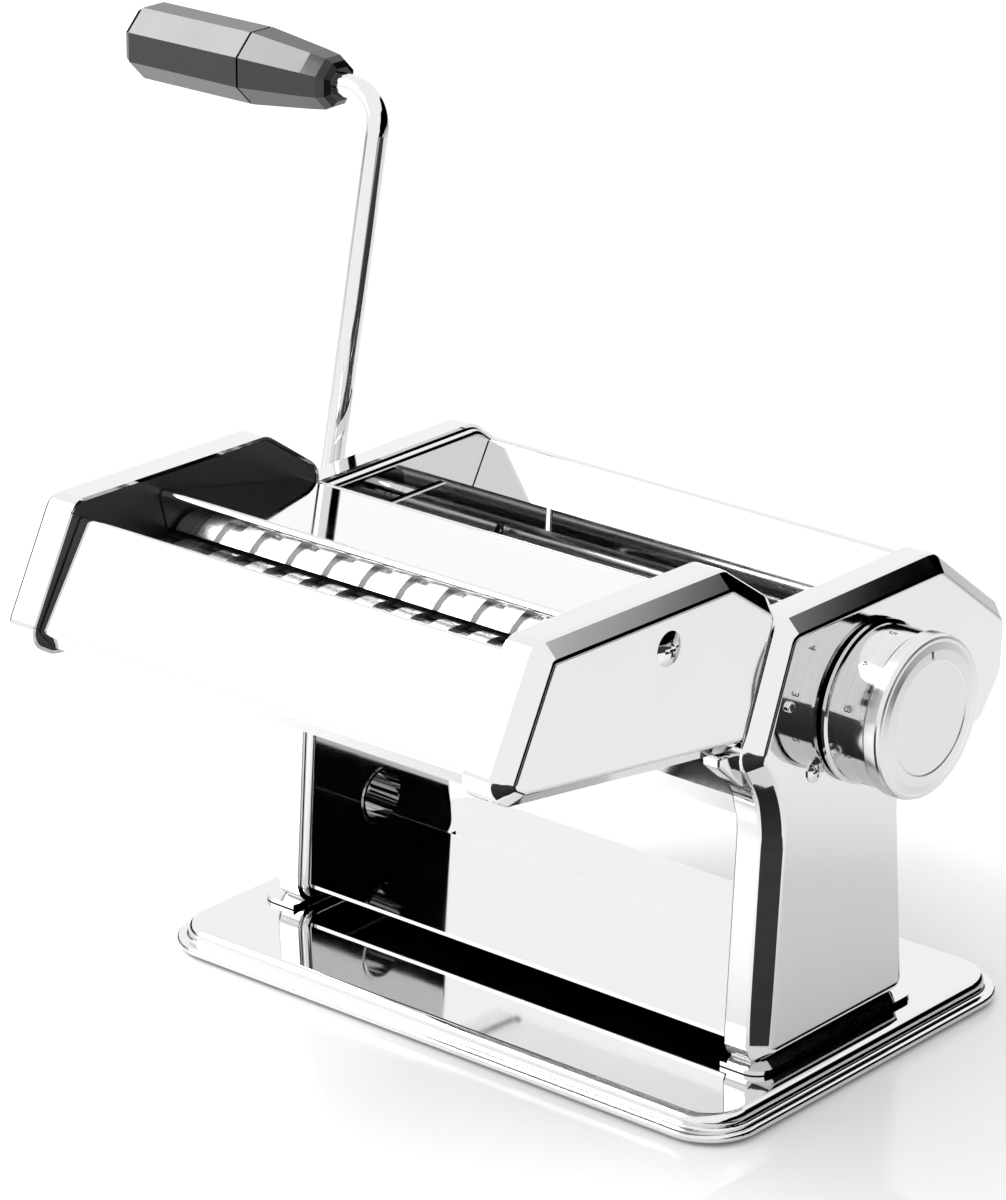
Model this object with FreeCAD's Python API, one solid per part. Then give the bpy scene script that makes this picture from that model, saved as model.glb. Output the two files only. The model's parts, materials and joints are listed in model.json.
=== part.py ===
import FreeCAD, Part
import math
import os

from FreeCAD import Vector

# Manual pasta roller with a slide-on cutter head. Millimetres, +Z up.
# Origin: centre of the base, in the plane that the rubber feet stand on.
# +X is the side of the thickness knob, -X the side of the crank, -Y the side of the cutter head.

# Driving dimensions
DOUGH_WIDTH = 150.0           # clear width between the two housings
SHEET = 0.8                   # thickness of the bent sheet covers
WALL = 1.0                    # wall of the stamped housings and caps
BEVEL = 4.6                   # width of the bevel around the face of a housing or cap
BEVEL_SOFT = 1.8              # rounding of the bevel's two edges

# Base tray
BASE_HALF_X = 102.7
BASE_HALF_Y = 68.0
BASE_CORNER = 16.0
BASE_TOP = 7.4
BASE_UNDER = 0.9              # height of the tray's rim above the table
FOOT_X, FOOT_Y, FOOT_R = 84.0, 50.0, 9.0

# Side housings
PLATE_X = DOUGH_WIDTH / 2 + 0.5      # inner face of the leg plates
COVER_OPEN_X = 77.8                  # inner edge of the outer covers
COVER_X = 90.0                       # outer face of the outer covers
LEG_BOTTOM = BASE_TOP + 0.3

# Rollers of the dough sheeter
ROLLER_Z = 103.0
REAR_Y = 10.0
ROLLER_GAP = 0.3
ROLLER_R = 14.4
FRONT_Y = REAR_Y - 2 * ROLLER_R - ROLLER_GAP
ROLLER_END = 73.5
JOURNAL_R = 6.0
RUNNING = 0.05                # radial clearance of a running fit
KNOB_TRAVEL = 2.2             # how far the rear roller can move back
GEAR_TEETH = 14

# Line that the cutter head slides along: it passes through the lower rear corner of the caps
SLIDE_FOOT = (-40.0, 102.5)
SLIDE_RISE = (15.0, 37.5)

# Cutter head
CAP_OPEN_X = DOUGH_WIDTH / 2
CAP_X = 88.6
CUTTER_R = 11.6
CUTTER_GROOVE_R = 10.2
CUTTER_SPACING = 22.0
CUTTER_END = 72.0
WIDE_REAR = (-93.0, 128.0)
WIDE_FRONT = (WIDE_REAR[0] - CUTTER_SPACING, WIDE_REAR[1])
NARROW_FRONT = (-70.3, 121.0)
NARROW_REAR = (NARROW_FRONT[0] + CUTTER_SPACING, NARROW_FRONT[1])
CUTTER_JOURNAL_R = 5.0
CUTTER_TEETH = 12
WIDE_NOODLE, NARROW_NOODLE = 6.5, 2.0

# Crank and grip
CRANK_X = -106.8
CRANK_R = 3.5
CRANK_LEAN = math.radians(11.9)
CRANK_ARM = 129.0
GRIP_FAR, GRIP_NEAR = -200.2, -122.3
GRIP_R = 11.6

# Knob
KNOB_BACK, KNOB_FACE = 90.8, 110.6
KNOB_R = 22.9

X_AXIS = Vector(1, 0, 0)


def save(name, shape):
    shape.exportStep("parts/" + name + ".step")
    box = shape.BoundBox
    valid = shape.isValid() and shape.Volume > 0
    print(name, len(shape.Solids), "solids", round(shape.Volume), "mm3", "valid" if valid else "INVALID",
          [round(v, 1) for v in (box.XMin, box.XMax, box.YMin, box.YMax, box.ZMin, box.ZMax)])


def mirrored(shape):
    return shape.mirror(Vector(0, 0, 0), X_AXIS)


def rod_x(x0, x1, y, z, r):
    """Round bar along X."""
    low, high = min(x0, x1), max(x0, x1)
    return Part.makeCylinder(r, high - low, Vector(low, y, z), X_AXIS)


def rod_z(z0, z1, x, y, r):
    """Round bar along Z."""
    return Part.makeCylinder(r, z1 - z0, Vector(x, y, z0), Vector(0, 0, 1))


def block(x0, x1, y0, y1, z0, z1):
    return Part.makeBox(x1 - x0, y1 - y0, z1 - z0, Vector(x0, y0, z0))


def rounded_wire(points, place):
    """Closed outline through (u, v, corner radius) points; place(u, v) puts a point in space."""
    corners = []
    count = len(points)
    for i, (u, v, radius) in enumerate(points):
        here = place(u, v)
        before = place(*points[i - 1][:2]) - here
        after = place(*points[(i + 1) % count][:2]) - here
        before.normalize()
        after.normalize()
        if radius <= 0:
            corners.append((here, None, here))
            continue
        half = before.getAngle(after) / 2
        reach = radius / math.tan(half)
        inward = (before + after).normalize()
        middle = here + inward * (radius / math.sin(half) - radius)
        corners.append((here + before * reach, middle, here + after * reach))
    edges = []
    for i, (start, middle, end) in enumerate(corners):
        if middle is not None:
            edges.append(Part.Arc(start, middle, end).toShape())
        following = corners[(i + 1) % count][0]
        if end.distanceToPoint(following) > 1e-6:
            edges.append(Part.LineSegment(end, following).toShape())
    return Part.Wire(edges)


def slab_x(points, x0, x1):
    """Outline of (y, z, corner radius) points in the YZ plane, as a plate from x0 to x1."""
    outline = rounded_wire(points, lambda y, z: Vector(x0, y, z))
    return Part.Face(outline).extrude(Vector(x1 - x0, 0, 0))


def slab_z(half_x, half_y, corner, z0, z1):
    """Rounded rectangle centred on the Z axis, from z0 to z1."""
    points = [(-half_x, -half_y, corner), (half_x, -half_y, corner),
              (half_x, half_y, corner), (-half_x, half_y, corner)]
    outline = rounded_wire(points, lambda x, y: Vector(x, y, z0))
    return Part.Face(outline).extrude(Vector(0, 0, z1 - z0))


def inset(points, distance):
    """The outline moved inwards by a distance; convex corners tighten and concave ones open."""
    count = len(points)
    area = 0.0
    for i in range(count):
        (u0, v0, _), (u1, v1, _) = points[i - 1], points[i]
        area += u0 * v1 - u1 * v0
    turn = 1.0 if area > 0 else -1.0
    moved = []
    for i, (u, v, radius) in enumerate(points):
        a = points[i - 1]
        b = points[(i + 1) % count]
        d1 = Vector(u - a[0], v - a[1], 0).normalize()
        d2 = Vector(b[0] - u, b[1] - v, 0).normalize()
        n1 = Vector(-d1.y, d1.x, 0) * turn
        n2 = Vector(-d2.y, d2.x, 0) * turn
        corner = Vector(u, v, 0) + (n1 + n2) * (distance / (1 + n1.dot(n2)))
        convex = (d1.x * d2.y - d1.y * d2.x) * turn > 0
        new_radius = max(radius - distance, 0.3) if convex else radius + distance
        moved.append((corner.x, corner.y, new_radius))
    return moved


def rim_at(body, x):
    """Edges of the body that lie in one plane square to X."""
    return [e for e in body.Edges if abs(e.BoundBox.XMin - x) < 1e-5 and abs(e.BoundBox.XMax - x) < 1e-5]


def stamped(points, x_open, x_face, edge):
    """Plate with the outline's corners rounded and the edges of its x_face rounded."""
    body = slab_x(points, x_open, x_face)
    return body.makeFillet(edge, rim_at(body, x_face))


def bevelled(points, x_open, x_face, edge, soft):
    """Plate with a flat bevel all round its x_face, and both edges of the bevel softened."""
    side = 1 if x_face > x_open else -1
    body = slab_x(points, x_open, x_face)
    body = body.makeChamfer(edge, rim_at(body, x_face))
    for x in (x_face, x_face - side * edge):
        body = body.makeFillet(soft, rim_at(body, x))
    return body


def deep_drawn(points, x_open, x_face):
    """Outside and hollow of a bevelled cover of even wall, open towards the middle of the machine."""
    outside = bevelled(points, x_open, x_face, BEVEL, BEVEL_SOFT)
    hollow = bevelled(inset(points, WALL), x_open - 1, x_face - WALL, BEVEL - 0.4 * WALL, BEVEL_SOFT - 0.5 * WALL)
    return outside, hollow


def stamped_shell(points, x_open, x_face, edge, wall):
    """Shallow pressing of even wall, with rounded edges around its x_face."""
    side = 1 if x_face > x_open else -1
    outside = stamped(points, x_open, x_face, edge)
    inside = stamped(inset(points, wall), x_open - side, x_face - side * wall, edge - wall)
    return outside.cut(inside)


def bent_sheet(path, thickness, half_width, bend=1.0):
    """Sheet of even thickness, bent along X-wise lines at the (y, z) points of its path."""
    sides = ([], [])
    last = len(path) - 1
    for i, (y, z) in enumerate(path):
        here = Vector(y, z, 0)
        d1 = (here - Vector(*path[i - 1], 0)).normalize() if i > 0 else None
        d2 = (Vector(*path[i + 1], 0) - here).normalize() if i < last else None
        d1 = d1 or d2
        d2 = d2 or d1
        n1 = Vector(-d1.y, d1.x, 0)
        n2 = Vector(-d2.y, d2.x, 0)
        mitre = (n1 + n2) * (thickness / 2 / (1 + n1.dot(n2)))
        turn = d1.x * d2.y - d1.y * d2.x
        for k, sign in enumerate((1, -1)):
            point = here + mitre * sign
            radius = 0.0
            if 0 < i < last:
                radius = bend if turn * sign > 0 else bend + thickness
            sides[k].append((point.x, point.y, radius))
    return slab_x(sides[0] + sides[1][::-1], -half_width, half_width)


def turned(profile, y, z):
    """Solid of revolution about an X-wise axis; the profile is closed (x, radius) points."""
    wire = Part.makePolygon([Vector(x, y, z + r) for x, r in profile + profile[:1]])
    return Part.Face(wire).revolve(Vector(0, y, z), X_AXIS, 360)


def gear_x(x0, x1, y, z, spacing, teeth, bore, mesh_angle):
    """Stub-tooth involute spur gear; one tooth points along mesh_angle from +Y towards +Z."""
    pitch = spacing / 2
    module = spacing / teeth
    base = pitch * math.cos(math.radians(20))
    tip = pitch + 0.8 * module
    root = pitch - 1.0 * module
    backlash = 0.12 / pitch

    def involute(r):
        roll = math.acos(min(1.0, base / r))
        return math.tan(roll) - roll

    half_tooth = math.pi / (2 * teeth) - backlash / 2 + involute(pitch)
    flank = [(root, half_tooth)] + [(base + (tip - base) * k / 3, half_tooth - involute(base + (tip - base) * k / 3))
                                    for k in range(4)]
    points = []
    for tooth in range(teeth):
        centre = mesh_angle + 2 * math.pi * tooth / teeth
        outline = [(r, centre - a) for r, a in flank] + [(r, centre + a) for r, a in flank[::-1]]
        points += [Vector(x0, y + r * math.cos(a), z + r * math.sin(a)) for r, a in outline]
    blank = Part.Face(Part.makePolygon(points + points[:1])).extrude(Vector(x1 - x0, 0, 0))
    return blank.cut(rod_x(x0 - 1, x1 + 1, y, z, bore))


def cross_screw(x_seat, side, y, z, head, shank, length):
    """Cross-recessed pan-head screw seated at x_seat and running inwards; side is the sign of x."""
    height = 1.3
    dome = Part.makeSphere(head * 2.0, Vector(x_seat + side * (height - head * 2.0), y, z))
    blank = rod_x(x_seat, x_seat + side * height, y, z, head)
    top = blank.common(dome)
    x_recess = x_seat + side * 0.5
    x_out = x_seat + side * (height + 1)
    low, high = min(x_recess, x_out), max(x_recess, x_out)
    arm, web = head * 0.55, head * 0.13
    recess = block(low, high, y - arm, y + arm, z - web, z + web)
    recess = recess.fuse(block(low, high, y - web, y + web, z - arm, z + arm))
    return top.fuse(rod_x(x_seat, x_seat - side * length, y, z, shank)).cut(recess)


def slide_line_y(z, behind=0.0):
    """Y of the slide line at a height, moved rearwards by a distance square to the line."""
    run, rise = SLIDE_RISE
    return SLIDE_FOOT[0] + (z - SLIDE_FOOT[1]) * run / rise + behind * math.hypot(run, rise) / rise


# ---------------------------------------------------------------- base

SCREW_X, SCREW_Y = 81.0, 20.0
FOOT_PLACES = [(sx * FOOT_X, sy * FOOT_Y) for sx in (-1, 1) for sy in (-1, 1)]
SCREW_R, SCREW_HOLE_R = 1.5, 1.7
SCREW_PLACES = [(sx * SCREW_X, sy * SCREW_Y) for sx in (-1, 1) for sy in (-1, 1)]


def base_tray():
    bead_top = 3.3
    step = 3.3
    bead = slab_z(BASE_HALF_X, BASE_HALF_Y, BASE_CORNER, BASE_UNDER, bead_top)
    bead = bead.makeFillet(1.1, [e for e in bead.Edges if abs(e.BoundBox.ZMax - e.BoundBox.ZMin) < 1e-6])
    raised = slab_z(BASE_HALF_X - step, BASE_HALF_Y - step, BASE_CORNER - step, 2.0, BASE_TOP)
    raised = raised.makeFillet(2.4, [e for e in raised.Edges if e.BoundBox.ZMin > BASE_TOP - 1e-6])
    tray = bead.fuse(raised)
    cove = [e for e in tray.Edges if abs(e.BoundBox.ZMin - bead_top) < 1e-5 and abs(e.BoundBox.ZMax - bead_top) < 1e-5
            and e.BoundBox.XMax < BASE_HALF_X - step + 0.01 and e.BoundBox.YMax < BASE_HALF_Y - step + 0.01
            and e.BoundBox.XMin > step - BASE_HALF_X - 0.01 and e.BoundBox.YMin > step - BASE_HALF_Y - 0.01]
    tray = tray.makeFillet(0.9, cove)
    pocket = slab_z(BASE_HALF_X - step - WALL, BASE_HALF_Y - step - WALL, BASE_CORNER - step - WALL,
                    0.0, BASE_TOP - WALL)
    pocket = pocket.makeFillet(1.4, [e for e in pocket.Edges if e.BoundBox.ZMin > BASE_TOP - WALL - 1e-6])
    tray = tray.cut(pocket)
    for x, y in SCREW_PLACES:
        tray = tray.cut(rod_z(0, BASE_TOP + 1, x, y, SCREW_HOLE_R))
    return tray


def rubber_feet():
    feet = []
    for x, y in FOOT_PLACES:
        foot = rod_z(0, BASE_TOP - WALL, x, y, FOOT_R)
        rim = [e for e in foot.Edges if e.BoundBox.ZMax < 1e-6]
        feet.append(foot.makeFillet(1.0, rim))
    return Part.makeCompound(feet)


def base_screws():
    under = BASE_TOP - WALL
    screws = []
    for x, y in SCREW_PLACES:
        screw = rod_z(under - 2.0, under, x, y, 2.9).fuse(rod_z(under, LEG_BOTTOM + WALL + 3.2, x, y, SCREW_R))
        slot = block(x - 5, x + 5, y - 0.4, y + 0.4, under - 3, under - 1.2)
        screws.append(screw.cut(slot))
    return Part.makeCompound(screws)


def hex_prism_z(x, y, z0, z1, across):
    corner = across / math.sqrt(3)
    points = [Vector(x + corner * math.sin(k * math.pi / 3), y + corner * math.cos(k * math.pi / 3), z0)
              for k in range(7)]
    return Part.Face(Part.makePolygon(points)).extrude(Vector(0, 0, z1 - z0))


def base_nuts():
    seat = LEG_BOTTOM + WALL
    nuts = []
    for x, y in SCREW_PLACES:
        nuts.append(hex_prism_z(x, y, seat, seat + 2.4, 5.5).cut(rod_z(seat - 1, seat + 4, x, y, SCREW_R + 0.05)))
    return Part.makeCompound(nuts)


def cross_plate():
    """Sheet that ties the legs together above the base, folded down at its rear edge."""
    top = 14.0 - WALL / 2
    return bent_sheet([(-30.0, top), (25.0, top), (25.0, LEG_BOTTOM)], WALL, PLATE_X - 0.3, bend=0.9)


# ---------------------------------------------------------------- side housings

def head_front(z, behind):
    return slide_line_y(z, behind), z


HEAD_TOP = 135.0
HOUSING = [(-34.5, LEG_BOTTOM, 6.9),
           (-29.8, 82.0, 34.0),
           (*head_front(99.0, 0.9), 8.0),
           (*head_front(HEAD_TOP, 0.9), 7.2),
           (43.5, HEAD_TOP, 9.0),
           (77.0, 109.6, 8.0),
           (76.0, 91.0, 8.0),
           (65.0, 76.6, 8.0),
           (28.6, 75.2, 9.0),
           (34.0, LEG_BOTTOM, 6.9)]
BEAK = [(-33.0, 88.5, 0.0), (-36.0, 90.2, 12.0), (-45.8, 98.6, 0.6), (-46.0, 101.9, 0.8),
        (slide_line_y(101.2, 1.2), 101.2, 0.0), (-33.0, 101.2, 0.0)]
BEAK_X = 83.0
SOCKET_Z = 32.5
SOCKET_R = 7.6
COVER_SCREWS = {1: (-13.4, 90.0), -1: (52.0, 100.0)}
SHIFT_SLOT = 6.7              # half height of the cover's slot around the crank and the knob post


def side_cover(side):
    outside, hollow = deep_drawn(HOUSING, COVER_OPEN_X, COVER_X)
    beak = stamped(BEAK, COVER_OPEN_X, BEAK_X, 1.2)
    cover = outside.cut(hollow).fuse(beak.cut(hollow))
    lip = [(COVER_OPEN_X, -36.0, 0.0), (COVER_X + 1.5, -36.0, 6.0), (COVER_X + 1.5, 35.5, 6.0),
           (COVER_OPEN_X, 35.5, 0.0)]
    lip_wire = rounded_wire(lip, lambda x, y: Vector(x, y, LEG_BOTTOM))
    foot_lip = Part.Face(lip_wire).extrude(Vector(0, 0, 1.2))
    cover = cover.fuse(foot_lip.cut(hollow))
    for y in (-SCREW_Y, SCREW_Y):
        cover = cover.cut(rod_z(0, 12, SCREW_X, y, SCREW_HOLE_R))
    y, z = COVER_SCREWS[side]
    cover = cover.cut(rod_x(COVER_X - 5, COVER_X + 5, y, z, 2.2))
    reach = 0.0 if side > 0 else KNOB_TRAVEL
    for shift in (0.0, reach):
        cover = cover.cut(rod_x(COVER_X - 5, COVER_X + 5, REAR_Y + shift, ROLLER_Z, SHIFT_SLOT))
    if reach:
        cover = cover.cut(block(COVER_X - 5, COVER_X + 5, REAR_Y, REAR_Y + reach,
                                ROLLER_Z - SHIFT_SLOT, ROLLER_Z + SHIFT_SLOT))
    return cover if side > 0 else mirrored(cover)


BLOCK_HALF_Y, BLOCK_HALF_Z = 10.0, 9.5
BUSH_R = 8.0
FRAME_RODS = [(58.0, 98.0, 3.0), (40.0, 84.0, 3.0), (-24.0, 84.0, 2.5), (14.9, 84.0, 2.5)]
SLIP = 0.3                    # gap around pieces that slide or are slipped in


def inner_plate(side):
    depth = 2.6
    outline = inset(HOUSING, WALL + SLIP)
    plate = stamped_shell(outline, PLATE_X + depth, PLATE_X, 1.8, WALL)
    x0, x1 = PLATE_X - 1, PLATE_X + depth
    cuts = [rod_x(x0, x1, 0, SOCKET_Z, SOCKET_R + WALL + 0.1),
            rod_x(x0, x1, FRONT_Y, ROLLER_Z, BUSH_R + 0.02),
            block(x0, x1, REAR_Y - BLOCK_HALF_Y - SLIP, REAR_Y + BLOCK_HALF_Y + KNOB_TRAVEL + SLIP,
                  ROLLER_Z - BLOCK_HALF_Z - RUNNING, ROLLER_Z + BLOCK_HALF_Z + RUNNING)]
    cuts += [rod_x(x0, x1, y, z, r - 0.95) for y, z, r in FRAME_RODS]
    y, z = COVER_SCREWS[side]
    cuts.append(rod_x(x0, x1, y, z, 2.1))
    for tool in cuts:
        plate = plate.cut(tool)
    return plate if side > 0 else mirrored(plate)


def clamp_socket(side):
    outer = SOCKET_R + WALL
    tube = rod_x(PLATE_X - 0.3, 87.6, 0, SOCKET_Z, outer).cut(rod_x(PLATE_X - 1, 86.8, 0, SOCKET_Z, SOCKET_R))
    flange = rod_x(PLATE_X + WALL + 0.1, PLATE_X + WALL + 1.1, 0, SOCKET_Z, outer + 3)
    flange = flange.cut(rod_x(PLATE_X, PLATE_X + 4, 0, SOCKET_Z, outer - 0.1))
    return (tube.fuse(flange)) if side > 0 else mirrored(tube.fuse(flange))


def cover_posts():
    posts = []
    for side, (y, z) in COVER_SCREWS.items():
        inner, outer = side * (PLATE_X + WALL), side * (COVER_X - WALL)
        bore = rod_x(inner - side, outer + side, y, z, 1.85)
        posts.append(rod_x(inner, outer, y, z, 3.8).cut(bore))
    return Part.makeCompound(posts)


def cover_screws():
    return Part.makeCompound([cross_screw(side * COVER_X, side, y, z, 3.5, 1.8, 8.0)
                              for side, (y, z) in COVER_SCREWS.items()])


def body_tie_rods():
    """Rods between the two leg plates, each with a thinner spigot riveted through the plate."""
    rods = []
    for y, z, r in FRAME_RODS:
        inside = PLATE_X - 0.05
        rod = rod_x(-inside, inside, y, z, r).fuse(rod_x(-PLATE_X - 2.2, PLATE_X + 2.2, y, z, r - 1.0))
        rods.append(rod)
    return Part.makeCompound(rods)


# ---------------------------------------------------------------- sheeter covers and guides

COVER_HALF = PLATE_X - 0.3


def rear_cover():
    path = [(40.5, 116.5), (48.4, 130.2), (75.9, 109.4), (75.0, 91.4), (64.6, 77.6), (21.5, 77.6), (21.5, 81.0)]
    return bent_sheet(path, SHEET, COVER_HALF, bend=1.6)


def front_cover():
    behind = 1.9
    path = [(-20.4, 120.8), head_front(136.4, behind), head_front(103.0, behind), (-29.4, 84.0), (-27.6, 78.0)]
    return bent_sheet(path, SHEET, COVER_HALF, bend=0.8)


def fender(side):
    x0, x1 = 64.5, 67.5
    top = 126.8
    clear_r = ROLLER_R + 0.5
    outline = [(-20.6, top, 0.0), (19.0, top, 3.0), (19.0, 112.0, 0.0), (-3.0, 109.0, 0.0), (-6.1, 109.0, 0.0),
               (-18.7, 116.5, 0.0), (-19.2, 119.5, 0.0)]
    plate = slab_x(outline, x0, x1)
    for y in (FRONT_Y, REAR_Y, REAR_Y + KNOB_TRAVEL):
        plate = plate.cut(rod_x(x0 - 1, x1 + 1, y, ROLLER_Z, clear_r))
    for y in (-11.0, 11.0):
        plate = plate.fuse(rod_x(x1 - 1, PLATE_X - 0.05, y, 122.6, 2.0))
    return plate if side > 0 else mirrored(plate)


def scraper(axis_y, toward):
    """Plastic wiper bar hung on a frame rod, its edge just under a roller; toward is the nip's side."""
    tip = (axis_y + toward * 3.9, 88.3)
    outline = [(*tip, 0.0), (axis_y - toward * 2.4, 87.0, 0.0), (axis_y - toward * 8.4, 86.8, 0.8),
               (axis_y - toward * 8.4, 80.8, 0.8), (axis_y - toward * 1.4, 80.8, 0.8)]
    bar = slab_x(outline, -73.0, 73.0)
    return bar.cut(rod_x(-80, 80, axis_y - toward * 4.9, 84.0, 2.6))


def front_bushes():
    """Flanged bushes that carry the fixed front roller."""
    flange = PLATE_X + WALL
    profile = [(PLATE_X - 0.5, JOURNAL_R + RUNNING), (PLATE_X - 0.5, BUSH_R), (flange, BUSH_R), (flange, 10.0),
               (flange + 1.8, 10.0), (flange + 1.8, JOURNAL_R + RUNNING)]
    bush = turned(profile, FRONT_Y, ROLLER_Z)
    return Part.makeCompound([bush, mirrored(bush)])


# ---------------------------------------------------------------- rollers and their drive

GEAR_X0, GEAR_X1 = -84.8, -79.4
GEAR_BORE = JOURNAL_R + 0.02


def bearing_block(side):
    core = block(PLATE_X - 0.5, PLATE_X + 3.1, REAR_Y - BLOCK_HALF_Y, REAR_Y + BLOCK_HALF_Y,
                 ROLLER_Z - BLOCK_HALF_Z, ROLLER_Z + BLOCK_HALF_Z)
    guide = block(PLATE_X + WALL + 0.05, PLATE_X + 3.1, REAR_Y - 13.0, REAR_Y + 13.0,
                  ROLLER_Z - 12.0, ROLLER_Z + 12.0)
    whole = core.fuse(guide).cut(rod_x(PLATE_X - 2, PLATE_X + 5, REAR_Y, ROLLER_Z, JOURNAL_R + RUNNING))
    return whole if side > 0 else mirrored(whole)


def roller_profile(left_end, right_end, groove):
    """Closed (x, radius) outline of a smooth roller with a ring groove near each end."""
    end = ROLLER_END
    r = ROLLER_R
    depth = 0.6
    cut = [(-groove - 0.6, r), (-groove - 0.6, r - depth), (-groove + 0.6, r - depth), (-groove + 0.6, r)]
    cut += [(-x, radius) for x, radius in cut[::-1]]
    return ([(left_end, 0), (left_end, JOURNAL_R), (-end, JOURNAL_R), (-end, r)] + cut
            + [(end, r), (end, JOURNAL_R), (right_end, JOURNAL_R), (right_end, 0)])


CRANK_SOCKET_R = 3.6
SOCKET_DEPTH = 12.0


def rear_roller():
    roller = turned(roller_profile(-86.4, 78.4, 69.5), REAR_Y, ROLLER_Z)
    return roller.cut(rod_x(-87, -86.4 + SOCKET_DEPTH, REAR_Y, ROLLER_Z, CRANK_SOCKET_R))


def front_roller():
    return turned(roller_profile(-85.4, 78.4, 69.5), FRONT_Y, ROLLER_Z)


def rear_roller_gear():
    return gear_x(GEAR_X0, GEAR_X1, REAR_Y, ROLLER_Z, REAR_Y - FRONT_Y, GEAR_TEETH, GEAR_BORE, math.pi)


def front_roller_gear():
    gap_angle = math.pi / GEAR_TEETH
    return gear_x(GEAR_X0, GEAR_X1, FRONT_Y, ROLLER_Z, REAR_Y - FRONT_Y, GEAR_TEETH, GEAR_BORE, gap_angle)


# ---------------------------------------------------------------- knob

def knob_post():
    post = rod_x(80.4, 104.0, REAR_Y, ROLLER_Z, JOURNAL_R)
    collar = rod_x(86.6, 88.6, REAR_Y, ROLLER_Z, 9.0)
    return post.fuse(collar)


def knob_cam():
    cam = rod_x(82.2, 85.4, REAR_Y + KNOB_TRAVEL / 2, ROLLER_Z, 10.0)
    return cam.cut(rod_x(81, 87, REAR_Y, ROLLER_Z, JOURNAL_R + 0.02))


BAND_X = 105.0                # where the dial drum ends and the outer knob drum begins


def knob_drum():
    """Hollow dial drum: rear rim, graduated band and a bored web that slides on the post."""
    inner = 18.6
    bore = JOURNAL_R + RUNNING
    profile = [(KNOB_BACK, inner), (KNOB_BACK, KNOB_R - 0.6), (KNOB_BACK + 0.5, KNOB_R), (KNOB_BACK + 1.5, KNOB_R),
               (KNOB_BACK + 2.0, KNOB_R - 0.9), (BAND_X - 0.8, KNOB_R - 0.9), (BAND_X - 0.8, KNOB_R - 2.0),
               (BAND_X, KNOB_R - 2.0), (BAND_X, bore), (BAND_X - 9.0, bore), (BAND_X - 9.0, bore + 3.0),
               (BAND_X - 3.0, bore + 3.0), (BAND_X - 3.0, inner)]
    return turned(profile, REAR_Y, ROLLER_Z)


def knob_cap():
    """Outer drum with a thin rim and a face that is slightly domed around a flat inner disc."""
    r = KNOB_R
    x0 = BAND_X + 0.05
    face = KNOB_FACE - 0.6
    profile = [(x0, 0), (x0, r - 0.3), (x0 + 0.3, r), (face - 1.4, r), (face - 0.9, r - 0.3), (face - 0.2, r - 0.5),
               (face, r - 1.2), (face, r - 2.0), (KNOB_FACE - 0.2, r - 4.0), (KNOB_FACE, r * 0.7),
               (KNOB_FACE - 0.15, r * 0.68), (KNOB_FACE - 0.15, 0)]
    return turned(profile, REAR_Y, ROLLER_Z)


def index_pin():
    pin = rod_x(COVER_X, COVER_X + 1.1, -25.4, 111.8, 1.5)
    return pin.makeFillet(0.5, [e for e in pin.Edges if e.BoundBox.XMin > COVER_X + 1])


# ---------------------------------------------------------------- crank

def crank_rod():
    lean = Vector(0, math.sin(CRANK_LEAN), math.cos(CRANK_LEAN))
    hub = Vector(CRANK_X, REAR_Y, ROLLER_Z)
    top = hub + lean * CRANK_ARM
    start = Vector(-86.4 + SOCKET_DEPTH - 0.6, REAR_Y, ROLLER_Z)
    end = Vector(GRIP_FAR + 6.0, top.y, top.z)
    low_bend, high_bend = 9.0, 12.0

    def arc(corner, toward_a, toward_b, radius):
        middle = corner + (toward_a + toward_b).normalize() * (radius * (math.sqrt(2) - 1))
        return Part.Arc(corner + toward_a * radius, middle, corner + toward_b * radius).toShape()

    path = Part.Wire([Part.LineSegment(start, hub + X_AXIS * low_bend).toShape(),
                      arc(hub, Vector(1, 0, 0), Vector(lean), low_bend),
                      Part.LineSegment(hub + lean * low_bend, top - lean * high_bend).toShape(),
                      arc(top, lean * -1, Vector(-1, 0, 0), high_bend),
                      Part.LineSegment(top - X_AXIS * high_bend, end).toShape()])
    section = Part.Wire([Part.makeCircle(CRANK_R, start, X_AXIS)])
    rod = path.makePipeShell([section], True, False)
    head = rod_x(end.x - 0.5, end.x + 2.0, end.y, end.z, 5.2)
    return rod.fuse(head)


GRIP_Y = REAR_Y + CRANK_ARM * math.sin(CRANK_LEAN)
GRIP_Z = ROLLER_Z + CRANK_ARM * math.cos(CRANK_LEAN)


def octagon(x, r):
    turns = [math.pi / 8 + k * math.pi / 4 for k in range(9)]
    return Part.makePolygon([Vector(x, GRIP_Y + r * math.cos(a), GRIP_Z + r * math.sin(a)) for a in turns])


def crank_grip():
    """Octagonal grip that narrows towards the crank, with a fine groove where the taper starts."""
    groove = GRIP_FAR + 46.5
    sections = [(GRIP_FAR + 3.2, GRIP_R), (groove - 0.3, GRIP_R), (groove - 0.3, GRIP_R - 0.6),
                (groove + 0.5, GRIP_R - 0.6), (groove + 0.5, GRIP_R), (GRIP_NEAR - 9.0, 9.0),
                (GRIP_NEAR - 3.5, 8.2), (GRIP_NEAR - 1.2, 7.0), (GRIP_NEAR, 5.2)]
    grip = None
    for (x0, r0), (x1, r1) in zip(sections, sections[1:]):
        if x1 - x0 < 1e-6:
            continue
        piece = Part.makeLoft([octagon(x0, r0), octagon(x1, r1)], True, True)
        grip = piece if grip is None else grip.fuse(piece)
    grip = grip.cut(rod_x(GRIP_FAR, GRIP_NEAR + 1, GRIP_Y, GRIP_Z, CRANK_R + 0.1))
    return grip.cut(rod_x(GRIP_FAR, GRIP_FAR + 9.0, GRIP_Y, GRIP_Z, 6.5))


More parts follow.
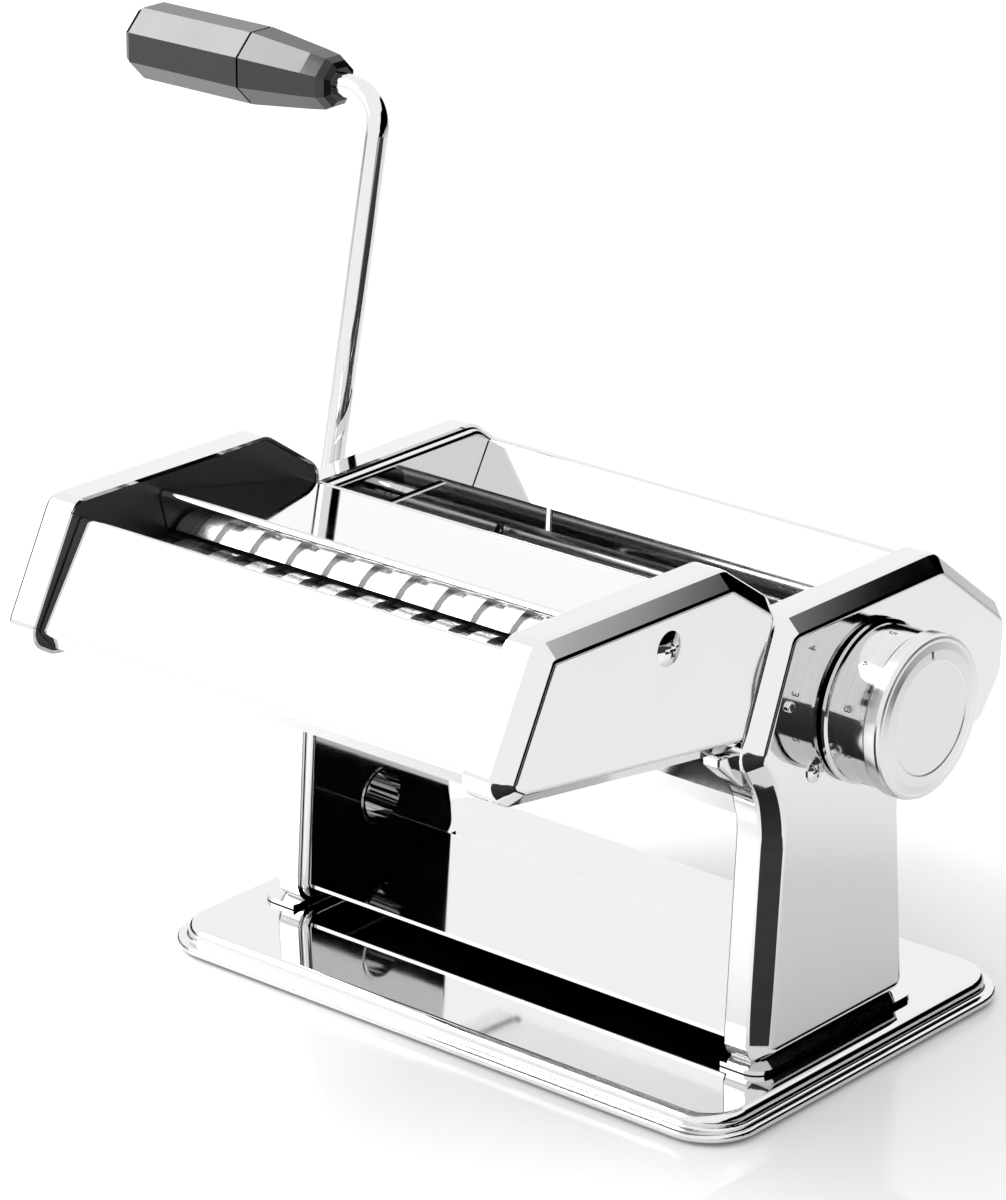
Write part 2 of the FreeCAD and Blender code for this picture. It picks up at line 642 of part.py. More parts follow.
def grip_cap():
    """End cap of the grip: an octagonal button with a bevelled rim and a plug."""
    seat = GRIP_FAR + 3.15
    cap = Part.makeLoft([octagon(GRIP_FAR, GRIP_R - 3.2), octagon(GRIP_FAR + 1.0, GRIP_R - 1.4),
                         octagon(seat, GRIP_R - 0.2)], True, True)
    return cap.fuse(rod_x(seat - 0.5, seat + 1.6, GRIP_Y, GRIP_Z, 6.4))


# ---------------------------------------------------------------- cutter head

CAP = [(-122.7, 156.7, 6.0), (-47.3, 155.2, 7.5), (-25.0, 140.0, 7.0), (*SLIDE_FOOT, 6.0),
       (-132.6, 115.9, 6.0), (-141.5, 121.2, 6.0)]
CAP_SCREW = (-74.8, 142.4)
LOW_ROD = (-131.0, 122.6)
CRANK_HOLES = (WIDE_REAR, NARROW_FRONT)
FRAME_X0, FRAME_X1 = DOUGH_WIDTH / 2 + 0.1, DOUGH_WIDTH / 2 + 2.1
CUTTER_PLACES = (WIDE_FRONT, WIDE_REAR, NARROW_FRONT, NARROW_REAR)
CUTTER_BUSH_R = 7.0


def cutter_cap(side):
    outside, hollow = deep_drawn(CAP, CAP_OPEN_X, CAP_X)
    cap = outside.cut(hollow)
    y, z = CAP_SCREW
    cap = cap.cut(rod_x(CAP_X - 3, CAP_X + 3, y, z, 2.2))
    if side < 0:
        for y, z in CRANK_HOLES:
            cap = cap.cut(rod_x(CAP_X - 3, CAP_X + 3, y, z, CUTTER_JOURNAL_R + 0.8))
    return cap if side > 0 else mirrored(cap)


def cutter_frame(side):
    plate = slab_x(inset(CAP, WALL + 0.25), FRAME_X0, FRAME_X1)
    for y, z in CUTTER_PLACES:
        plate = plate.cut(rod_x(FRAME_X0 - 1, FRAME_X1 + 1, y, z, CUTTER_BUSH_R + 0.02))
    plate = plate.cut(rod_x(FRAME_X0 - 1, FRAME_X1 + 1, *CAP_SCREW, 3.1))
    plate = plate.cut(rod_x(FRAME_X0 - 1, FRAME_X1 + 1, *LOW_ROD, 1.3))
    return plate if side > 0 else mirrored(plate)


def cutter_bushes():
    bushes = []
    for y, z in CUTTER_PLACES:
        ring = rod_x(FRAME_X0 - 0.4, FRAME_X1 + 0.2, y, z, CUTTER_BUSH_R)
        ring = ring.cut(rod_x(FRAME_X0 - 1, FRAME_X1 + 1, y, z, CUTTER_JOURNAL_R + RUNNING))
        bushes += [ring, mirrored(ring)]
    return Part.makeCompound(bushes)


def cutter_tie_rods():
    long_end = CAP_X - WALL - 0.05
    long_rod = rod_x(-long_end, long_end, *CAP_SCREW, 3.0)
    for side in (-1, 1):
        long_rod = long_rod.cut(rod_x(side * (long_end - 9), side * (long_end + 1), *CAP_SCREW, 1.85))
    low = rod_x(-FRAME_X0 + 0.05, FRAME_X0 - 0.05, *LOW_ROD, 1.8)
    low = low.fuse(rod_x(-FRAME_X1 - 0.6, FRAME_X1 + 0.6, *LOW_ROD, 1.25))
    return Part.makeCompound([long_rod, low])


def cap_screws():
    return Part.makeCompound([cross_screw(side * CAP_X, side, *CAP_SCREW, 4.8, 1.8, 8.0) for side in (-1, 1)])


PANEL_HALF = DOUGH_WIDTH / 2 - 0.3


def cutter_front_panel():
    path = [(-117.6, 149.2), (-119.9, 151.7), (-136.6, 123.7), (-131.6, 117.9)]
    return bent_sheet(path, SHEET, PANEL_HALF, bend=0.7)


def cutter_top_plate():
    path = [(-87.5, 139.8), (-90.2, 150.6), (-32.2, 138.2), (-33.0, 134.6), (-49.0, 138.0)]
    return bent_sheet(path, SHEET, PANEL_HALF, bend=0.7)


def cutter_rear_panel():
    inside = -0.5
    foot = 106.0
    path = [(-43.0, 133.4), (-37.0, 130.6), (slide_line_y(137.0, inside), 137.0), (slide_line_y(foot, inside), foot)]
    return bent_sheet(path, SHEET, PANEL_HALF, bend=0.0)


SIDE_GAP = 0.15


def ring_places(width, phase):
    """Start of each cutting ring along X; the partner roller's rings sit in the gaps."""
    count = int(round(2 * CUTTER_END / width))
    start = -width * count / 2
    return [start + width * k for k in range(count) if k % 2 == phase]


def cutter_roller(place, width, phase, left_end):
    """Roller with square rings and grooves, turned from one bar."""
    y, z = place
    outline = [(left_end, 0), (left_end, CUTTER_JOURNAL_R), (-CUTTER_END - 2.0, CUTTER_JOURNAL_R),
               (-CUTTER_END - 2.0, CUTTER_GROOVE_R)]
    for x in ring_places(width, phase):
        a, b = x + SIDE_GAP, x + width - SIDE_GAP
        outline += [(a, CUTTER_GROOVE_R), (a, CUTTER_R), (b, CUTTER_R), (b, CUTTER_GROOVE_R)]
    outline += [(CUTTER_END + 2.0, CUTTER_GROOVE_R), (CUTTER_END + 2.0, CUTTER_JOURNAL_R),
                (FRAME_X1 + 0.4, CUTTER_JOURNAL_R), (FRAME_X1 + 0.4, 0)]
    roller = turned(outline, y, z)
    if place in CRANK_HOLES:
        roller = roller.cut(rod_x(left_end - 1, left_end + SOCKET_DEPTH, y, z, CRANK_SOCKET_R))
    return roller


def cutter_comb(place, width, phase, toward, low, high, depth):
    """Plastic comb whose teeth reach into the grooves of a cutter roller.

    toward is the side of the roller it stands on, low and high are the angles that it spans.
    """
    y, z = place
    reach = CUTTER_GROOVE_R + 0.4
    low, high = math.radians(low), math.radians(high)
    outline = [(y + toward * reach * math.cos(high) * 0.9, z + reach * math.sin(high), 0.0),
               (y + toward * depth, z + reach * math.sin(high), 0.0),
               (y + toward * depth, z + reach * math.sin(low), 0.0),
               (y + toward * reach * math.cos(low) * 0.9, z + reach * math.sin(low), 0.0)]
    bar = slab_x(outline, -CUTTER_END - 2.0, CUTTER_END + 2.0)
    tools = [rod_x(-CUTTER_END - 3, CUTTER_END + 3, y, z, reach)]
    tools += [rod_x(x - SIDE_GAP, x + width + SIDE_GAP, y, z, CUTTER_R + 0.3) for x in ring_places(width, phase)]
    return bar.cut(Part.makeCompound(tools))


CUTTER_GEAR_PLANES = {"wide": (-80.6, -78.2), "narrow": (-83.5, -81.1)}


def cutter_gear(pair, place, angle):
    x0, x1 = CUTTER_GEAR_PLANES[pair]
    return gear_x(x0, x1, *place, CUTTER_SPACING, CUTTER_TEETH, CUTTER_JOURNAL_R + 0.02, angle)


def main():
    os.makedirs("parts", exist_ok=True)
    save("base_tray", base_tray())
    save("rubber_feet", rubber_feet())
    save("base_screws", base_screws())
    save("base_nuts", base_nuts())
    save("cross_plate", cross_plate())
    for name, side in (("left", -1), ("right", 1)):
        save(name + "_side_cover", side_cover(side))
        save(name + "_inner_plate", inner_plate(side))
        save(name + "_clamp_socket", clamp_socket(side))
        save(name + "_fender", fender(side))
        save(name + "_bearing_block", bearing_block(side))
        save("cutter_" + name + "_cap", cutter_cap(side))
        save("cutter_" + name + "_frame", cutter_frame(side))
    save("cover_posts", cover_posts())
    save("cover_screws", cover_screws())
    save("body_tie_rods", body_tie_rods())
    save("rear_cover", rear_cover())
    save("front_cover", front_cover())
    save("front_scraper", scraper(FRONT_Y, 1))
    save("rear_scraper", scraper(REAR_Y, -1))
    save("front_bushes", front_bushes())
    save("rear_roller", rear_roller())
    save("rear_roller_gear", rear_roller_gear())
    save("front_roller", front_roller())
    save("front_roller_gear", front_roller_gear())
    save("knob_post", knob_post())
    save("knob_cam", knob_cam())
    save("knob_drum", knob_drum())
    save("knob_cap", knob_cap())
    save("index_pin", index_pin())
    save("crank_rod", crank_rod())
    save("crank_grip", crank_grip())
    save("grip_cap", grip_cap())
    save("cutter_bushes", cutter_bushes())
    save("cutter_tie_rods", cutter_tie_rods())
    save("cap_screws", cap_screws())
    save("cutter_front_panel", cutter_front_panel())
    save("cutter_top_plate", cutter_top_plate())
    save("cutter_rear_panel", cutter_rear_panel())
    gap = math.pi / CUTTER_TEETH
    for pair, front, rear, width in (("wide", WIDE_FRONT, WIDE_REAR, WIDE_NOODLE),
                                     ("narrow", NARROW_FRONT, NARROW_REAR, NARROW_NOODLE)):
        socket_end = 0.6 - CAP_X
        plain_end = CUTTER_GEAR_PLANES[pair][0] - 0.5
        ends = [socket_end if place in CRANK_HOLES else plain_end for place in (front, rear)]
        save(pair + "_cutter_front", cutter_roller(front, width, 0, ends[0]))
        save(pair + "_cutter_rear", cutter_roller(rear, width, 1, ends[1]))
        save(pair + "_gear_front", cutter_gear(pair, front, 0.0))
        save(pair + "_gear_rear", cutter_gear(pair, rear, math.pi + gap))
    save("wide_comb_front", cutter_comb(WIDE_FRONT, WIDE_NOODLE, 0, -1, -50, 40, 12.8))
    save("wide_comb_rear", cutter_comb(WIDE_REAR, WIDE_NOODLE, 1, 1, -6, 66, 12.4))
    save("narrow_comb_front", cutter_comb(NARROW_FRONT, NARROW_NOODLE, 0, -1, -50, -2, 12.6))
    save("narrow_comb_rear", cutter_comb(NARROW_REAR, NARROW_NOODLE, 1, 1, 0, 42, 12.8))


main()
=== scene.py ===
import json
import math

import bmesh
import bpy
from mathutils import Euler, Matrix, Vector


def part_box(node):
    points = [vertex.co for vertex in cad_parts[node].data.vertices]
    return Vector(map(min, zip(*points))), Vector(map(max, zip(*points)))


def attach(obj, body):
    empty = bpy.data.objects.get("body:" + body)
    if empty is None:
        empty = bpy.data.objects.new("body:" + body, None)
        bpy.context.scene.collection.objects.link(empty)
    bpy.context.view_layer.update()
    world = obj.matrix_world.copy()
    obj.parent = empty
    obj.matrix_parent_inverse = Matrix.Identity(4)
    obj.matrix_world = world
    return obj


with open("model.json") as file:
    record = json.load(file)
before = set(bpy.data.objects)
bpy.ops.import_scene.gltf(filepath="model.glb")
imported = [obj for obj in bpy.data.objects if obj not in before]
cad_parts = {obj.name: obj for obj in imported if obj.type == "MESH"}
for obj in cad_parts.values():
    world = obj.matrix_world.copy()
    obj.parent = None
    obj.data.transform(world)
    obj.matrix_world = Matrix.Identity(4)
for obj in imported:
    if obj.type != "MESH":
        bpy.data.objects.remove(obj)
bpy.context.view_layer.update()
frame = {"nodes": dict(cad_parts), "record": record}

MM = 0.001

# Viewing angle of the studio camera: azimuth from -Y towards +X, elevation above the table
CAMERA_AZIMUTH, CAMERA_ELEVATION, CAMERA_ROLL = 40.22, 20.91, 0.26
CAMERA_DISTANCE = 1.501
CAMERA_TARGET = Vector((-0.0475, 0.0208, 0.0940))
CAMERA_LENS = 157.7
CAMERA_SENSOR = 36.0
CAMERA_REACH = 50.0

# The white tent's strength. Each dark opening in its sides has a direction, the closeness to that
# direction where it starts and where it is at its full height, and that height.
TENT_LIGHT = 1.15
RIGHT_OPENING = Vector((0.8, 0.6, 0.0))
RIGHT_START, RIGHT_FULL, RIGHT_TOP = 0.25, 0.7, 0.55
LEFT_OPENING = Vector((-1.0, 0.0, 0.0))
LEFT_START, LEFT_FULL, LEFT_TOP = 0.75, 0.92, 0.22
OPENING_FOOT = -0.2
OPENING_BLUR = 0.06

# Softboxes: place, width and height, watts
KEY_SOFTBOX = ((-1.7, -1.1, 2.1), (1.3, 1.0), 45.0)
FRONT_SOFTBOX = ((-1.5, -1.6, 1.2), (1.6, 1.2), 9.0)

# Black cards lying on the table: outlines in x and y, and how far they lie above it
RIGHT_TABLE_CARD = [(0.45, -1.2), (3.0, -1.2), (3.0, 0.45), (0.45, 0.45)]
LEG_CARD = [(0.112, -0.045), (0.112, -0.11), (0.22, -0.6), (0.6, -0.6), (0.6, -0.13)]
CARD_LIFT = 0.6 * MM

FLOOR_HALF = 9.0
FLOOR_DROP = 0.2 * MM

# Dial: digits round the drum, counted from its underside
DIGIT_SIZE, DIGIT_DEPTH = 3.4 * MM, 0.04 * MM
DIGIT_STEP = math.radians(35)
DIGIT_BAND = 7.7 * MM
SCALE_BELOW_RIM = 0.9 * MM

# Line on the knob's face: thickness, width, length; where its middle lies, in from the cap's
# outermost point and up from the axis
LINE_SHAPE = (0.2 * MM, 0.6 * MM, 2.2 * MM)
LINE_INSET = 0.11 * MM
LINE_ABOVE_AXIS = 17.9 * MM

# Shading: edges sharper than this stay sharp; the grip's own edges are rounded
SHARP_ANGLE = math.radians(28)
GRIP_ROUND, GRIP_ROUND_STEPS = 0.5 * MM, 3
GRIP_EDGE_ANGLE = math.radians(20)

# Nearly all values of a noise lie between these two
NOISE_LOW, NOISE_HIGH = 0.3, 0.7

CHROME = (0.745, 0.748, 0.752)
STEEL = (0.60, 0.61, 0.62)
ALUMINIUM = (0.74, 0.74, 0.745)
BRONZE_PORE, BRONZE = (0.34, 0.24, 0.13), (0.62, 0.47, 0.28)
ETCH_DARK, ETCH_LIGHT = (0.05, 0.05, 0.055), (0.12, 0.12, 0.125)
PAPER_DARK, PAPER_LIGHT = (0.925, 0.925, 0.925), (0.935, 0.935, 0.935)

# Black materials: colour, least and greatest roughness, scale of the grain, strength of its bump
BLACKS = {
    # blackened_steel colours the cutter frames near-black: a painted reflection, standing in for
    # the dark reflections that show on them
    "blackened_steel": ((0.012, 0.012, 0.012), 0.30, 0.42, 1200.0, 0.2),
    "comb_plastic": ((0.022, 0.022, 0.022), 0.40, 0.55, 1800.0, 0.4),
    "grip_plastic": ((0.006, 0.006, 0.007), 0.06, 0.12, 500.0, 0.06),
    "foot_rubber": ((0.035, 0.035, 0.035), 0.65, 0.80, 2500.0, 0.5),
    "black_velvet": ((0.004, 0.004, 0.004), 0.85, 0.95, 900.0, 0.2),
}


# ---------------------------------------------------------------- node helpers

def new_material(name):
    material = bpy.data.materials.new(name)
    material.use_nodes = True
    nodes = material.node_tree.nodes
    return material, nodes, material.node_tree.links, nodes["Principled BSDF"]


def object_coordinates(nodes, links, scale):
    coordinates = nodes.new("ShaderNodeTexCoord")
    mapping = nodes.new("ShaderNodeMapping")
    mapping.inputs["Scale"].default_value = scale
    links.new(coordinates.outputs["Object"], mapping.inputs["Vector"])
    return mapping.outputs["Vector"]


def noise(nodes, links, vector, scale, detail=3.0, roughness=0.5):
    texture = nodes.new("ShaderNodeTexNoise")
    texture.inputs["Scale"].default_value = scale
    texture.inputs["Detail"].default_value = detail
    texture.inputs["Roughness"].default_value = roughness
    links.new(vector, texture.inputs["Vector"])
    return texture.outputs["Fac"]


def remapped(nodes, links, value, low, high):
    """The value's useful middle range, spread from low to high."""
    spread = nodes.new("ShaderNodeMapRange")
    spread.inputs["From Min"].default_value = NOISE_LOW
    spread.inputs["From Max"].default_value = NOISE_HIGH
    spread.inputs["To Min"].default_value = low
    spread.inputs["To Max"].default_value = high
    links.new(value, spread.inputs["Value"])
    return spread.outputs["Result"]


def tinted(nodes, links, value, dark, light):
    """Colour that runs from dark to light with the value."""
    ramp = nodes.new("ShaderNodeValToRGB")
    first, last = ramp.color_ramp.elements
    first.position, first.color = NOISE_LOW, (*dark, 1)
    last.position, last.color = NOISE_HIGH, (*light, 1)
    links.new(value, ramp.inputs["Fac"])
    return ramp.outputs["Color"]


def vector_math(nodes, operation, second=None):
    """Vector Math node; second is its fixed second vector."""
    node = nodes.new("ShaderNodeVectorMath")
    node.operation = operation
    if second is not None:
        node.inputs[1].default_value = second
    return node


def bumped(nodes, links, shader, height, strength, distance):
    bump = nodes.new("ShaderNodeBump")
    bump.inputs["Strength"].default_value = strength
    bump.inputs["Distance"].default_value = distance
    links.new(height, bump.inputs["Height"])
    links.new(bump.outputs["Normal"], shader.inputs["Normal"])


def darker(colour, factor):
    return tuple(c * factor for c in colour)


# ---------------------------------------------------------------- materials

def chrome_plate():
    """Polished chrome on pressed sheet: faint waviness, and a hardly visible film of handling."""
    material, nodes, links, shader = new_material("chrome_plate")
    shader.inputs["Metallic"].default_value = 1.0
    place = object_coordinates(nodes, links, (1, 1, 1))
    film = noise(nodes, links, place, 45.0, 4.0)
    colour = tinted(nodes, links, film, darker(CHROME, 0.985), CHROME)
    links.new(colour, shader.inputs["Base Color"])
    links.new(remapped(nodes, links, film, 0.035, 0.060), shader.inputs["Roughness"])
    waves = noise(nodes, links, place, 22.0, 1.0)
    bumped(nodes, links, shader, waves, 0.10, 0.0006)
    return material


def drawn_steel():
    """Bright drawn steel with fine lines along X."""
    material, nodes, links, shader = new_material("drawn_steel")
    shader.inputs["Metallic"].default_value = 1.0
    place = object_coordinates(nodes, links, (0.06, 1, 1))
    lines = noise(nodes, links, place, 900.0, 3.0)
    colour = tinted(nodes, links, lines, darker(STEEL, 0.88), STEEL)
    links.new(colour, shader.inputs["Base Color"])
    links.new(remapped(nodes, links, lines, 0.22, 0.34), shader.inputs["Roughness"])
    bumped(nodes, links, shader, lines, 0.25, 0.00004)
    return material


def turned_metal(name, metal, low, high):
    """Metal turned about an X-wise axis: fine rings, close together along X."""
    material, nodes, links, shader = new_material(name)
    shader.inputs["Metallic"].default_value = 1.0
    place = object_coordinates(nodes, links, (1, 0.02, 0.02))
    rings = noise(nodes, links, place, 1600.0, 4.0, 0.7)
    colour = tinted(nodes, links, rings, darker(metal, 0.86), metal)
    links.new(colour, shader.inputs["Base Color"])
    links.new(remapped(nodes, links, rings, low, high), shader.inputs["Roughness"])
    bumped(nodes, links, shader, rings, 0.35, 0.00003)
    return material


def spun_face():
    """Knob face: rings about the knob's axis, from the distance to it."""
    material, nodes, links, shader = new_material("spun_face")
    shader.inputs["Metallic"].default_value = 1.0
    low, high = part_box("knob_cap")
    centre = (low + high) / 2
    coordinates = nodes.new("ShaderNodeTexCoord")
    offset = vector_math(nodes, "SUBTRACT", centre)
    links.new(coordinates.outputs["Object"], offset.inputs[0])
    flat = vector_math(nodes, "MULTIPLY", (0, 1, 1))
    links.new(offset.outputs["Vector"], flat.inputs[0])
    distance = vector_math(nodes, "LENGTH")
    links.new(flat.outputs["Vector"], distance.inputs[0])
    along = nodes.new("ShaderNodeSeparateXYZ")
    links.new(offset.outputs["Vector"], along.inputs["Vector"])
    combined = nodes.new("ShaderNodeCombineXYZ")
    links.new(distance.outputs["Value"], combined.inputs["X"])
    links.new(along.outputs["X"], combined.inputs["Y"])
    rings = noise(nodes, links, combined.outputs["Vector"], 1500.0, 3.0, 0.6)
    colour = tinted(nodes, links, rings, darker(ALUMINIUM, 0.9), ALUMINIUM)
    links.new(colour, shader.inputs["Base Color"])
    links.new(remapped(nodes, links, rings, 0.16, 0.26), shader.inputs["Roughness"])
    bumped(nodes, links, shader, rings, 0.2, 0.00002)
    return material


def black_surface(name):
    """One of the black materials: fine grain and a slight unevenness of sheen."""
    colour, low, high, grain, bump = BLACKS[name]
    material, nodes, links, shader = new_material(name)
    place = object_coordinates(nodes, links, (1, 1, 1))
    patches = noise(nodes, links, place, 60.0, 4.0)
    sheen = tinted(nodes, links, patches, darker(colour, 0.75), colour)
    links.new(sheen, shader.inputs["Base Color"])
    links.new(remapped(nodes, links, patches, low, high), shader.inputs["Roughness"])
    bumped(nodes, links, shader, noise(nodes, links, place, grain, 2.0), bump, 0.00005)
    return material


def sintered_bronze():
    """Porous bronze of the bushes."""
    material, nodes, links, shader = new_material("sintered_bronze")
    shader.inputs["Metallic"].default_value = 1.0
    place = object_coordinates(nodes, links, (1, 1, 1))
    pores = noise(nodes, links, place, 2500.0, 4.0)
    colour = tinted(nodes, links, pores, BRONZE_PORE, BRONZE)
    links.new(colour, shader.inputs["Base Color"])
    links.new(remapped(nodes, links, pores, 0.35, 0.55), shader.inputs["Roughness"])
    bumped(nodes, links, shader, pores, 0.3, 0.00004)
    return material


def etched_marks():
    """Dark etching in the knob's scale."""
    material, nodes, links, shader = new_material("etched_marks")
    place = object_coordinates(nodes, links, (1, 1, 1))
    grains = noise(nodes, links, place, 3000.0, 3.0)
    colour = tinted(nodes, links, grains, ETCH_DARK, ETCH_LIGHT)
    links.new(colour, shader.inputs["Base Color"])
    links.new(remapped(nodes, links, grains, 0.5, 0.7), shader.inputs["Roughness"])
    return material


def floor_paper():
    """White paper, smooth enough to show a faint reflection."""
    material, nodes, links, shader = new_material("floor_paper")
    place = object_coordinates(nodes, links, (1, 1, 1))
    fibres = noise(nodes, links, place, 300.0, 3.0)
    colour = tinted(nodes, links, fibres, PAPER_DARK, PAPER_LIGHT)
    links.new(colour, shader.inputs["Base Color"])
    shader.inputs["Roughness"].default_value = 0.18
    shader.inputs["Specular IOR Level"].default_value = 0.35
    return material


def dress_nodes():
    """Gives every CAD node its material and a clean shading of flats and bends."""
    by_slot = {
        "polished_chrome": chrome_plate(),
        "bright_steel": drawn_steel(),
        "turned_aluminium": turned_metal("turned_aluminium", ALUMINIUM, 0.16, 0.30),
        # Painted reflection: this near-black on the cutter frames stands in for the dark
        # reflections seen on them
        "blackened_steel": black_surface("blackened_steel"),
        "black_plastic": black_surface("comb_plastic"),
        "grip_plastic": black_surface("grip_plastic"),
        "bush_bronze": sintered_bronze(),
        "foot_rubber": black_surface("foot_rubber"),
    }
    own = {
        "knob_cap": spun_face(),
        "knob_drum": turned_metal("turned_chrome", CHROME, 0.05, 0.10),
    }
    slots = {part["node"]: part["material_slot"] for part in frame["record"]["subparts"]}
    for name, piece in frame["nodes"].items():
        material = own.get(name, by_slot[slots[name]])
        piece.data.materials.clear()
        piece.data.materials.append(material)
        piece.data.shade_smooth()
        piece.data.set_sharp_from_angle(angle=SHARP_ANGLE)
        weighted = piece.modifiers.new("even_normals", "WEIGHTED_NORMAL")
        weighted.keep_sharp = True
    for name in ("crank_grip", "grip_cap"):
        bevel = frame["nodes"][name].modifiers.new("soft_edges", "BEVEL")
        bevel.width, bevel.segments = GRIP_ROUND, GRIP_ROUND_STEPS
        bevel.limit_method = "ANGLE"
        bevel.angle_limit = GRIP_EDGE_ANGLE


# ---------------------------------------------------------------- pieces added to the frame

def mesh_piece(name, mesh, body, material):
    """Piece of its own that rides on a body of the frame."""
    piece = bpy.data.objects.new(name, mesh)
    bpy.context.scene.collection.objects.link(piece)
    piece.data.materials.clear()
    piece.data.materials.append(material)
    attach(piece, body)
    return piece


def digit_mesh(text, size, depth):
    """A solid digit lying in its own XY plane."""
    curve = bpy.data.curves.new("digit", "FONT")
    curve.body = text
    curve.size = size
    curve.extrude = depth
    curve.align_x = "CENTER"
    curve.align_y = "CENTER"
    carrier = bpy.data.objects.new("digit", curve)
    bpy.context.scene.collection.objects.link(carrier)
    bpy.context.view_layer.update()
    evaluated = carrier.evaluated_get(bpy.context.evaluated_depsgraph_get())
    mesh = bpy.data.meshes.new_from_object(evaluated)
    bpy.data.objects.remove(carrier)
    return mesh


def dial_scale(material):
    """Digits 0 to 9 around the dial drum, and a short line on the knob's face."""
    low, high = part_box("knob_drum")
    centre = (low + high) / 2
    radius = (high.z - low.z) / 2 - SCALE_BELOW_RIM
    scale = bmesh.new()
    for number in range(10):
        angle = -math.pi / 2 - DIGIT_STEP * number
        outward = Vector((0, math.cos(angle), math.sin(angle)))
        around = Vector((0, -math.sin(angle), math.cos(angle)))
        base = Vector((low.x + DIGIT_BAND, centre.y, centre.z)) + outward * radius
        turn = Matrix((around, Vector((1, 0, 0)), outward)).transposed().to_4x4()
        mesh = digit_mesh(str(number), DIGIT_SIZE, DIGIT_DEPTH)
        mesh.transform(Matrix.Translation(base) @ turn)
        scale.from_mesh(mesh)
        bpy.data.meshes.remove(mesh)
    line = bmesh.ops.create_cube(scale, size=1.0)["verts"]
    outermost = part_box("knob_cap")[1].x
    line_place = Vector((outermost - LINE_INSET, centre.y, centre.z + LINE_ABOVE_AXIS))
    shape = Matrix.Diagonal((*LINE_SHAPE, 1))
    bmesh.ops.transform(scale, matrix=Matrix.Translation(line_place) @ shape, verts=line)
    mesh = bpy.data.meshes.new("dial_scale")
    scale.to_mesh(mesh)
    scale.free()
    return mesh_piece("dial_scale", mesh, "knob", material)


# ---------------------------------------------------------------- studio

def flat_sheet(name, outline, height):
    """One flat face with an outline in x and y."""
    mesh = bpy.data.meshes.new(name)
    mesh.from_pydata([(x, y, height) for x, y in outline], [], [tuple(range(len(outline)))])
    return mesh


def studio_floor():
    half = FLOOR_HALF
    outline = [(-half, -half), (half, -half), (half, half), (-half, half)]
    floor = bpy.data.objects.new("studio_floor", flat_sheet("studio_floor", outline, 0.0))
    floor.location.z = -FLOOR_DROP
    bpy.context.scene.collection.objects.link(floor)
    floor.data.materials.append(floor_paper())


def opening_height(nodes, links, direction, towards, low, high, top):
    """How high a dark opening reaches in a direction, by its closeness to the opening's own.

    Up to low there is no opening, and from high on it has its full height, top.
    """
    along = vector_math(nodes, "DOT_PRODUCT", towards)
    links.new(direction, along.inputs[0])
    rise = nodes.new("ShaderNodeMapRange")
    rise.inputs["From Min"].default_value = low
    rise.inputs["From Max"].default_value = high
    rise.inputs["To Min"].default_value = OPENING_FOOT
    rise.inputs["To Max"].default_value = top
    links.new(along.outputs["Value"], rise.inputs["Value"])
    return rise.outputs["Result"]


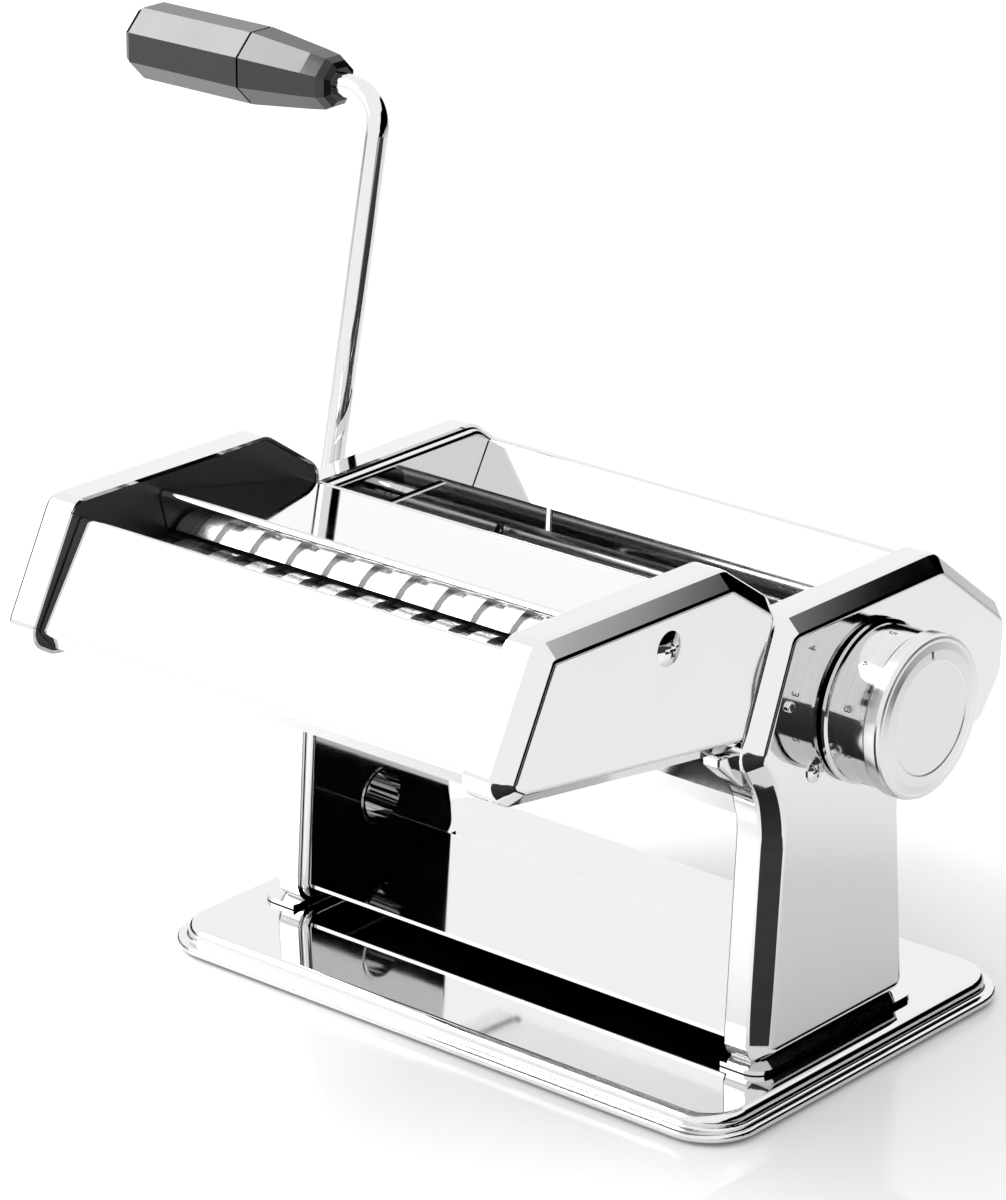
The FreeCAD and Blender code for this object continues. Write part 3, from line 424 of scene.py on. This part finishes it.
def studio_world():
    """White tent all round, open to a dark room low down on its right and left sides."""
    world = bpy.data.worlds.new("studio")
    world.use_nodes = True
    bpy.context.scene.world = world
    nodes, links = world.node_tree.nodes, world.node_tree.links
    coordinates = nodes.new("ShaderNodeTexCoord")
    direction = coordinates.outputs["Generated"]
    parts = nodes.new("ShaderNodeSeparateXYZ")
    links.new(direction, parts.inputs["Vector"])
    right = opening_height(nodes, links, direction,
                           RIGHT_OPENING, RIGHT_START, RIGHT_FULL, RIGHT_TOP)
    left = opening_height(nodes, links, direction,
                          LEFT_OPENING, LEFT_START, LEFT_FULL, LEFT_TOP)
    highest = nodes.new("ShaderNodeMath")
    highest.operation = "MAXIMUM"
    links.new(right, highest.inputs[0])
    links.new(left, highest.inputs[1])
    above = nodes.new("ShaderNodeMath")
    above.operation = "SUBTRACT"
    links.new(parts.outputs["Z"], above.inputs[0])
    links.new(highest.outputs["Value"], above.inputs[1])
    gap = nodes.new("ShaderNodeValToRGB")
    stops = gap.color_ramp.elements
    stops[0].position, stops[0].color = 0.0, (0.0, 0.0, 0.0, 1)
    stops[1].position, stops[1].color = OPENING_BLUR, (1.0, 1.0, 1.0, 1)
    links.new(above.outputs["Value"], gap.inputs["Fac"])
    background = nodes["Background"]
    links.new(gap.outputs["Color"], background.inputs["Color"])
    background.inputs["Strength"].default_value = TENT_LIGHT


def black_card(name, outline, material):
    """Black card on the table that only shows in reflections."""
    card = bpy.data.objects.new(name, flat_sheet(name, outline, CARD_LIFT))
    bpy.context.scene.collection.objects.link(card)
    card.data.materials.append(material)
    card.visible_camera = False
    card.visible_diffuse = False
    card.visible_shadow = False
    card.visible_transmission = False


def softbox(name, place, size, power):
    """Rectangular light turned towards the machine."""
    light = bpy.data.lights.new(name, "AREA")
    light.shape = "RECTANGLE"
    light.size, light.size_y = size
    light.energy = power
    lamp = bpy.data.objects.new(name, light)
    lamp.location = place
    lamp.rotation_euler = (-Vector(place)).to_track_quat("-Z", "Y").to_euler()
    bpy.context.scene.collection.objects.link(lamp)


def studio_camera():
    azimuth, elevation = math.radians(CAMERA_AZIMUTH), math.radians(CAMERA_ELEVATION)
    back = Vector((math.sin(azimuth) * math.cos(elevation),
                   -math.cos(azimuth) * math.cos(elevation),
                   math.sin(elevation)))
    camera = bpy.data.objects.new("camera", bpy.data.cameras.new("camera"))
    camera.data.lens = CAMERA_LENS
    camera.data.sensor_width = CAMERA_SENSOR
    camera.data.clip_end = CAMERA_REACH
    camera.location = CAMERA_TARGET + back * CAMERA_DISTANCE
    roll = Euler((0, 0, math.radians(CAMERA_ROLL))).to_matrix()
    camera.rotation_euler = (back.to_track_quat("Z", "Y").to_matrix() @ roll).to_euler()
    bpy.context.scene.collection.objects.link(camera)
    bpy.context.scene.camera = camera


def main():
    dress_nodes()
    dial_scale(etched_marks())
    studio_floor()
    studio_world()
    softbox("key_softbox", *KEY_SOFTBOX)
    softbox("front_softbox", *FRONT_SOFTBOX)
    velvet = black_surface("black_velvet")
    black_card("right_table_card", RIGHT_TABLE_CARD, velvet)
    black_card("leg_card", LEG_CARD, velvet)
    studio_camera()
    bpy.context.scene.view_settings.view_transform = "Standard"


main()
